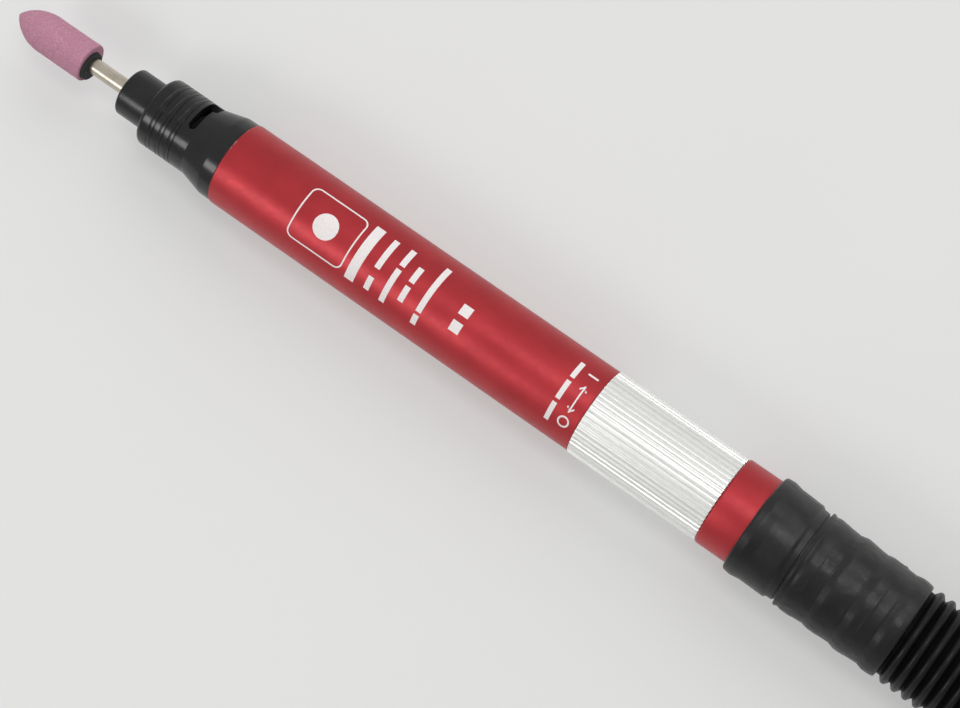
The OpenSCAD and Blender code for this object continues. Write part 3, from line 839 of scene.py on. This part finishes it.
# lines round the rear section: distance from CUFF0, height, width
CUFF_LINES = (
    (CREASES[1], -0.07, 0.12), (CREASES[2], -0.09, 0.11), (CREASES[3], -0.09, 0.11),
    (24.0, 0.05, 0.12), (13.2, 0.04, 0.10),
)
R_REAR = 8.9                                    # mean radius of the rear section


def rear_radius(x):
    """Each section rises quickly behind its crease and falls slowly to the next."""
    for a, b in zip(CREASES, CREASES[1:]):
        if a <= x - CUFF0 < b:
            u = (x - CUFF0 - a) / (b - a)
            return R_REAR + 0.24 * ease(u / 0.27 if u < 0.27 else 1 - (u - 0.27) / 0.73) - 0.12
    return R_REAR - 0.12


def shape_cuff(verts):
    rad = off_axis(verts)
    skin = rad > 8.25
    p = verts[skin]
    along = p[:, 0] - CUFF0
    angle = np.arctan2(p[:, 2], p[:, 1])

    def arc_from(middle):
        """Distance round the skin from an angle."""
        return (np.mod(angle - middle + math.pi, TURN) - math.pi) * 9.0

    # weights of the sections behind and ahead of the gap in the cuff
    rear = np.clip((along - 10.0) / 1.5, 0, 1) * np.clip((CUFF1 + 0.3 - p[:, 0]) / 1.2, 0, 1)
    front = np.clip(along / 0.8, 0, 1) * np.clip((8.2 - along) / 0.6, 0, 1)
    lumps = fbm(p * np.array([1.0, 0.75, 0.75]), 4.6, 2, 11)
    fine = fbm(p, 1.6, 3, 12)
    height = rear * (0.10 * lumps + 0.035 * fine)
    height += front * (0.035 * fbm(p, 5.0, 2, 13) + 0.012 * fine)
    for at, line, width in CUFF_LINES:
        waver = 0.09 * np.sin(angle * 2 + at)
        height += line * np.exp(-(((along - at - waver) / width) ** 2)) * rear
    # the moulding's parting line on both sides, and its flash nub
    for side in (0.35, 0.35 + math.pi):
        height += 0.05 * np.exp(-((arc_from(side) / 0.12) ** 2)) * (front + 0.6 * rear)
    height += 0.16 * np.exp(-((np.hypot(along - 24.6, arc_from(0.06)) / 0.35) ** 2))
    height += 0.008 * fbm(p, 0.35, 2, 14) * np.maximum(rear, front)
    verts = raise_skin(verts, skin, np.clip(height, -0.28, 0.24))
    # the lip sits a little askew on the cap
    near_lip = np.clip(1 - (verts[:, 0] - CUFF0) / 7.0, 0, 1) * (rad > 8.32)
    verts[:, 0] += (0.22 * verts[:, 1] / 9.0 + 0.08) * near_lip
    verts[:, 1] += sag(verts[:, 0])
    return verts


def build_cuff():
    x = CUFF0
    lip = R_CUFF + 0.1
    profile = rounded([
        (x, R_CAP, 0.05), (x, lip - 0.16, 0.95), (x + 1.7, lip, 1.6), (x + 3.4, lip - 0.29, 1.6),
        (x + 7.95, lip - 0.33, 0.6), (x + 8.45, 8.66, 0.3), (x + 9.5, 8.60, 0.05),
        (x + 9.58, 8.30, 0.04), (x + 9.86, 8.30, 0.04), (x + 10.0, 9.02, 0.07),
        (x + 10.32, 9.12, 0.12), (x + 10.6, 8.98, 0.25),
    ])
    end = CUFF1 + 0.38
    rear0, rear1 = x + 10.9, end - 0.9
    for i in range(121):
        station = rear0 + (rear1 - x - 10.9) * i / 120
        profile.append((station, rear_radius(station)))
    # round the end and back along the cap's neck
    profile += rounded([
        (rear1, rear_radius(rear1), 0), (end - 0.05, R_REAR - 0.05, 0.55), (end, 8.2, 0.4),
        (end, R_NECK, 0.1), (RIDGE1, R_NECK, 0), (RIDGE0, R_RIDGE, 0.05), (RIDGE0, R_NECK, 0),
        (NECK0, R_NECK, 0), (NECK0, R_CAP, 0),
    ])[1:]
    return lathe("cuff_sleeve", dense(profile, 0.22), 232, move=shape_cuff, sharp=50)


place(build_cuff(), "cuff_rubber", "barrel_group", "hose_cuff")

# ---------------------------------------------------------------- hoses


def build_hose():
    pitch = 2.15
    crests = [CUFF1 + 2.05 + i * pitch for i in range(28)]
    crest_r, root_r, bore_r = R_HOSE, R_HOSE - 0.93, 7.2
    profile = [(HOSE0, bore_r, 0.05), (HOSE0, R_NECK, 0.1), (CUFF1 + 0.1, R_NECK, 0),
               (CUFF1 + 0.2, root_r, 0.1)]
    for x in crests:
        profile += [
            (x - pitch * 0.47, root_r, 0.1), (x - pitch * 0.17, crest_r - 0.06, 0.4),
            (x, crest_r + 0.01, 0.6),
            (x + pitch * 0.17, crest_r - 0.06, 0.4), (x + pitch * 0.47, root_r, 0.1),
        ]
    profile += [(HOSE1, root_r, 0.25), (HOSE1, bore_r, 0.1)]
    # the bore follows the corrugations, so the wall bends evenly
    for x in reversed(crests):
        profile += [(x + pitch * 0.2, bore_r, 0), (x, 7.75, 0), (x - pitch * 0.2, bore_r, 0)]

    def bow(verts):
        skin = off_axis(verts) > root_r - 0.1
        p = verts[skin]
        verts = raise_skin(verts, skin, 0.03 * fbm(p, 6.0, 2, 21) + 0.012 * fbm(p, 0.9, 2, 22))
        verts[:, 1] += sag(verts[:, 0])
        return verts

    ob = lathe("hose_corrugated", rounded(profile, 0.4), 144, move=bow, sharp=60)
    # 0 in the grooves and 1 on the crests, read by the rubber to paint shade into the grooves
    crest = ob.data.attributes.new("crest", "FLOAT", "POINT")
    for v in ob.data.vertices:
        x, y, z = (c / MM for c in v.co)
        height = (math.hypot(y - float(sag(x)), z) - root_r) / (crest_r - root_r)
        crest.data[v.index].value = min(1.0, max(0.0, height))
    return ob


place_soft(build_hose(), "hose_rubber", "exhaust_hose")


def bow_air_hose(verts):
    """The inner hose stays on the axis inside the cap and joins the bow behind it."""
    verts = verts.copy()
    verts[:, 1] += sag(verts[:, 0]) * ease(np.clip((verts[:, 0] - 122) / 14, 0, 1))
    return verts


place_soft(lathe("hose_air", dense(rounded([
    (AIR0, 2.5, 0.1), (AIR0, R_AIR, 0.25), (AIR1, R_AIR, 0.25), (AIR1, 2.5, 0.1),
]), 1.2), 96, move=bow_air_hose), "air_hose_rubber", "air_hose")

# ---------------------------------------------------------------- ferrules and inlet


def build_ferrule(name, node):
    """A sleeve with three crimped grooves."""
    x0, x1 = span(node)
    r = radius(node)
    bore_r = 3.75
    profile = [(x0, bore_r, 0), (x0, r, 0.12)]
    for i in range(3):
        mid = x0 + (x1 - x0) / 3 * (i + 0.5)
        profile += [(mid - 0.55, r, 0.15), (mid - 0.3, r - 0.16, 0.15),
                    (mid + 0.3, r - 0.16, 0.15), (mid + 0.55, r, 0.15)]
    profile += [(x1, r, 0.12), (x1, bore_r, 0)]
    return lathe(name, rounded(profile), 96)


for name, node, body in (
    ("crimp_front", "hose_ferrule", "barrel_group"),
    ("crimp_rear", "inlet_ferrule", "hose_end_group"),
):
    place(build_ferrule(name, node), "bare_aluminium", body, node)


def build_inlet():
    """From the front: three barbs, a short collar, a hexagon, a plain neck and a thread."""
    angles = np.arange(216) * 2 * math.pi / 216
    barb_pitch = 3.0
    hex0 = INLET0 + 11.2
    hex1 = hex0 + 6.2
    half_flats = 7.0
    thread0, thread1 = INLET1 - 10.6, INLET1 - 0.6
    pitch, crest_r, thread_depth = 1.337, 6.58, 0.78

    xs = [INLET0 + barb_pitch * i + step for i in range(3) for step in (0.02, 1.6, 3.12)]
    xs += [INLET0, INLET0 + 11.0, INLET0 + 11.02]
    xs += [*np.linspace(hex0, hex1, 26), hex0 - 0.01, hex1 + 0.01]
    xs += [thread0 - 0.62, thread0 - 0.3]
    xs += [*np.arange(thread0, thread1, pitch / 12), thread1, INLET1 - 0.3, INLET1]
    xs = np.unique(np.round(xs, 5))

    def outer(X, A):
        f = np.mod(X - INLET0, barb_pitch) / barb_pitch
        barb = 2.15 + 0.35 * np.clip(1 - np.abs(f - 0.53) / 0.5, 0, 1)
        r = np.where(X < INLET0 + 11.0, barb, 2.4)
        r = np.where((X >= INLET0 + 11.01) & (X < hex0), 5.0, r)
        # the hexagon, with its corners chamfered at both ends
        sixth = math.pi / 3
        hexagon = half_flats / np.cos(np.mod(A + math.pi / 2 + sixth / 2, sixth) - sixth / 2)
        inset = np.clip(np.minimum(X - hex0, hex1 - X), 0, 9)
        hexagon = np.minimum(hexagon, half_flats + 0.05 + inset * 1.7)
        r = np.where((X >= hex0) & (X <= hex1), hexagon, r)
        r = np.where((X > hex1) & (X < thread0 - 0.25), 5.9, r)
        # the thread, a helix of flat-topped teeth that fades in and out
        phase = np.mod((X - thread0) / pitch - A / TURN, 1.0)
        tooth = np.clip((np.abs(phase - 0.5) * 2 - 0.12) / 0.76, 0, 1)
        lead = np.clip((INLET1 - X) / 0.9, 0, 1)
        run = np.clip((X - thread0 + 0.3) / 0.9, 0, 1) * lead
        thread = crest_r - thread_depth * (1 - tooth)
        thread = np.where(run < 1, np.minimum(thread, 5.85 + 0.73 * run), thread)
        thread = np.where(lead < 1, np.minimum(thread, 5.7 + 0.88 * lead), thread)
        return np.where(X >= thread0 - 0.25, thread, r)

    def inner(X, A):
        return np.where(X > INLET0 + 19.3, 3.0, 1.6)

    return field("inlet_nipple", xs, angles, outer, inner, sharp=30)


place(build_inlet(), "brass", "hose_end_group", "inlet_fitting")

# ---------------------------------------------------------------- print on the barrel

# Shapes are drawn in (x, arc), the arc measured round the barrel from +Z towards +Y.


def build_print(name, strips):
    """Thin closed ink strips on the barrel, each given by its two long edges."""
    verts, faces = [], []
    for edges in strips:
        n = len(edges[0])
        top0 = len(verts)
        top1, low0, low1 = top0 + n, top0 + 2 * n, top0 + 3 * n
        for r in (R_BODY + 0.012, R_BODY - 0.03):
            for edge in edges:
                for x, arc in edge:
                    angle = arc / R_BODY
                    verts.append((x, r * math.sin(angle), r * math.cos(angle)))
        for i in range(n - 1):
            faces += [
                (top0 + i, top0 + i + 1, top1 + i + 1, top1 + i),
                (low0 + i, low1 + i, low1 + i + 1, low0 + i + 1),
                (top0 + i, low0 + i, low0 + i + 1, top0 + i + 1),
                (top1 + i, top1 + i + 1, low1 + i + 1, low1 + i),
            ]
        faces += [
            (top0, top1, low1, low0),
            (top0 + n - 1, low0 + n - 1, low1 + n - 1, top1 + n - 1),
        ]
    ob = solid(name, verts, faces)
    ob.data.materials.append(INK)
    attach(ob, "barrel_group")


def stroke(path, width):
    """A polyline widened into one strip, mitred at its corners."""
    points = [Vector(p) for p in path]
    left, right = [], []
    for i, p in enumerate(points):
        before = (p - points[i - 1]).normalized() if i else None
        after = (points[i + 1] - p).normalized() if i < len(points) - 1 else None
        along = (before + after).normalized() if before and after else (before or after)
        mitre = 1 / max(0.5, along.dot(after or before))
        out = Vector((-along.y, along.x)) * (width / 2 * mitre)
        left.append(tuple(p + out))
        right.append(tuple(p - out))
    return left, right


def bar(x, arc0, arc1, width):
    n = max(2, int(abs(arc1 - arc0) / 0.35) + 1)
    return stroke([(x, arc0 + (arc1 - arc0) * i / (n - 1)) for i in range(n)], width)


def circle(x, arc, rad, width):
    angles = [2 * math.pi * i / 36 for i in range(37)]
    return stroke([(x + rad * math.cos(a), arc + rad * math.sin(a)) for a in angles], width)


def round_rect(x0, arc0, x1, arc1, fillet, width):
    corners = []
    for x, arc, start in (
        (x1 - fillet, arc1 - fillet, 0), (x0 + fillet, arc1 - fillet, 90),
        (x0 + fillet, arc0 + fillet, 180), (x1 - fillet, arc0 + fillet, 270),
    ):
        for k in range(7):
            a = math.radians(start + 15 * k)
            corners.append((x + fillet * math.cos(a), arc + fillet * math.sin(a)))
    path = dense(corners, 0.4 * (1 + 1e-9)) if False else []
    for i, p in enumerate(corners):
        q = corners[(i + 1) % len(corners)]
        n = max(1, int(math.hypot(q[0] - p[0], q[1] - p[1]) / 0.4))
        path += [(p[0] + (q[0] - p[0]) * j / n, p[1] + (q[1] - p[1]) * j / n) for j in range(n)]
    return stroke(path + [path[0]], width)


# rows of plain bars: x, [(arc start, arc end)], width along X
BAR_ROWS = (
    (30.1, [(-5.8, 5.4)], 1.9),
    (33.65, [(-5.4, -2.7), (-1.0, 5.1)], 1.1),
    (37.0, [(-5.7, 1.0), (1.7, 5.4)], 1.1),
    (40.0, [(-3.5, -0.5), (0.3, 3.4)], 1.1),
    (43.7, [(-5.8, -3.8), (-3.2, 6.5)], 1.1),
    (71.7, [(-6.2, -2.4), (-1.7, 1.9), (2.6, 6.2)], 0.9),
    (50.6, [(-2.6, -0.6), (0.6, 2.6)], 2.0),        # two squares
)
FRAME_X, FRAME_ARC = (16.4, 27.9), (-5.3, 5.0)
MARKS_X = 74.55                                     # the off and on marks

strips = [round_rect(FRAME_X[0], FRAME_ARC[0], FRAME_X[1], FRAME_ARC[1], fillet=1.3, width=0.28)]
# a disc in the middle of the frame, drawn as rings so that it follows the barrel
strips += [circle(sum(FRAME_X) / 2, sum(FRAME_ARC) / 2, 0.3 + 0.58 * k, 0.6) for k in range(4)]
strips += [bar(x, *arcs, width) for x, spans, width in BAR_ROWS for arcs in spans]
# a ring, a double arrow and a stroke
strips += [circle(MARKS_X, -4.6, 0.95, 0.32), bar(MARKS_X, -2.3, 2.3, 0.28),
           stroke([(MARKS_X - 1.0, 4.9), (MARKS_X + 1.0, 4.9)], 0.38)]
for sign in (-1, 1):
    strips.append(stroke([(MARKS_X - 0.65, sign * 1.7), (MARKS_X, sign * 2.5),
                          (MARKS_X + 0.65, sign * 1.7)], 0.28))
build_print("barrel_print", strips)

# ---------------------------------------------------------------- floor and world (metres)


def floor_paper():
    m = Material("floor_paper")
    m.put("Base Color", m.mix(m.patches(scale=14, detail=4),
                              (0.44, 0.44, 0.437), (0.43, 0.43, 0.427)))
    m.put("Emission Color", (1.0, 1.0, 0.993, 1.0))
    m.put("Emission Strength", 0.305)
    m.put("Roughness", 0.8)
    m.put("Specular IOR Level", 0.2)
    m.put("Normal", m.bump(m.noise(scale=900), distance=0.00004, strength=0.15))
    return m.material


def build_floor():
    half = 1.6
    z = -(R_CUFF + 0.25) * MM
    mesh = bpy.data.meshes.new("floor")
    corners = ((-half, -half, z), (half, -half, z), (half, half, z), (-half, half, z))
    mesh.from_pydata(corners, [], [(0, 1, 2, 3)])
    floor = bpy.data.objects.new("floor", mesh)
    scene.collection.objects.link(floor)
    mesh.materials.append(floor_paper())


def build_world():
    """An even white, a little brighter from +Y than from -Y."""
    world = bpy.data.worlds.new("studio")
    scene.world = world
    world.use_nodes = True
    tree = world.node_tree
    background = tree.nodes["Background"]
    background.inputs[0].default_value = (1.0, 1.0, 0.995, 1)
    coords = tree.nodes.new("ShaderNodeTexCoord")
    split = tree.nodes.new("ShaderNodeSeparateXYZ")
    strength = tree.nodes.new("ShaderNodeMapRange")
    for key, value in (("From Min", -1.0), ("From Max", 1.0), ("To Min", 0.44), ("To Max", 0.62)):
        strength.inputs[key].default_value = value
    tree.links.new(coords.outputs["Generated"], split.inputs[0])
    tree.links.new(split.outputs["Y"], strength.inputs[0])
    tree.links.new(strength.outputs[0], background.inputs[1])


build_floor()
build_world()

# ---------------------------------------------------------------- lights (metres, watts)


def area(name, at, target, size, power):
    """A rectangular lamp of (width, height), turned to its target."""
    light = bpy.data.lights.new(name, "AREA")
    light.shape = "RECTANGLE"
    light.size, light.size_y = size
    light.energy = power
    ob = bpy.data.objects.new(name, light)
    ob.location = at
    ob.rotation_mode = "QUATERNION"
    ob.rotation_quaternion = (Vector(target) - Vector(at)).to_track_quat("-Z", "Y")
    scene.collection.objects.link(ob)
    return ob


key = area("key", at=(0.00, 0.95, 0.80), target=(0.06, 0, 0), size=(1.2, 0.8), power=5.5)
key.visible_glossy = False
area("top_rear", at=(0.13, 0.15, 0.62), target=(0.13, 0, 0), size=(0.30, 0.14), power=0.75)
area("front_low", at=(-0.20, -0.42, 0.45), target=(-0.20, 0, 0), size=(0.30, 0.20), power=1.05)
# a small lamp seen only as shine on the +Y side of the cap and cuff
far = area("far_shine", at=(0.19, 0.40, 0.36), target=(0.12, 0, 0), size=(0.06, 0.06), power=0.16)
far.visible_diffuse = False

# ---------------------------------------------------------------- camera (metres)

AIM = Vector((0.0551, 0, 0))        # the point on the tool's axis that the camera is set from
DISTANCE = 0.4094                   # depth of AIM in front of the camera
AIM_OFFSET = 0.003019325            # AIM's distance from the line of sight
AXIS_TURN = math.radians(34.74)     # how far the tool's axis falls from level in the view
AXIS_TILT = math.radians(11.5)      # how far its +X end comes towards the camera


def build_camera():
    """Stands over the tool's axis, in the XZ plane."""
    cam = bpy.data.cameras.new("camera")
    cam.lens = 90
    cam.sensor_width = 36
    cam.clip_start = 0.01
    cam.clip_end = 20
    ob = bpy.data.objects.new("camera", cam)
    scene.collection.objects.link(ob)
    scene.camera = ob
    # AIM and the world's axes, as the camera sees them
    aim = Vector((AIM_OFFSET * math.sin(AXIS_TURN), AIM_OFFSET * math.cos(AXIS_TURN), -DISTANCE))
    x_axis = Vector((math.cos(AXIS_TURN) * math.cos(AXIS_TILT),
                     -math.sin(AXIS_TURN) * math.cos(AXIS_TILT), math.sin(AXIS_TILT)))
    z_axis = (aim.dot(x_axis) * x_axis - aim).normalized()
    to_world = Matrix((x_axis, z_axis.cross(x_axis), z_axis))
    ob.rotation_mode = "QUATERNION"
    ob.rotation_quaternion = to_world.to_quaternion()
    ob.location = AIM - to_world @ aim


build_camera()

scene.view_settings.view_transform = "Standard"
scene.view_settings.look = "None"
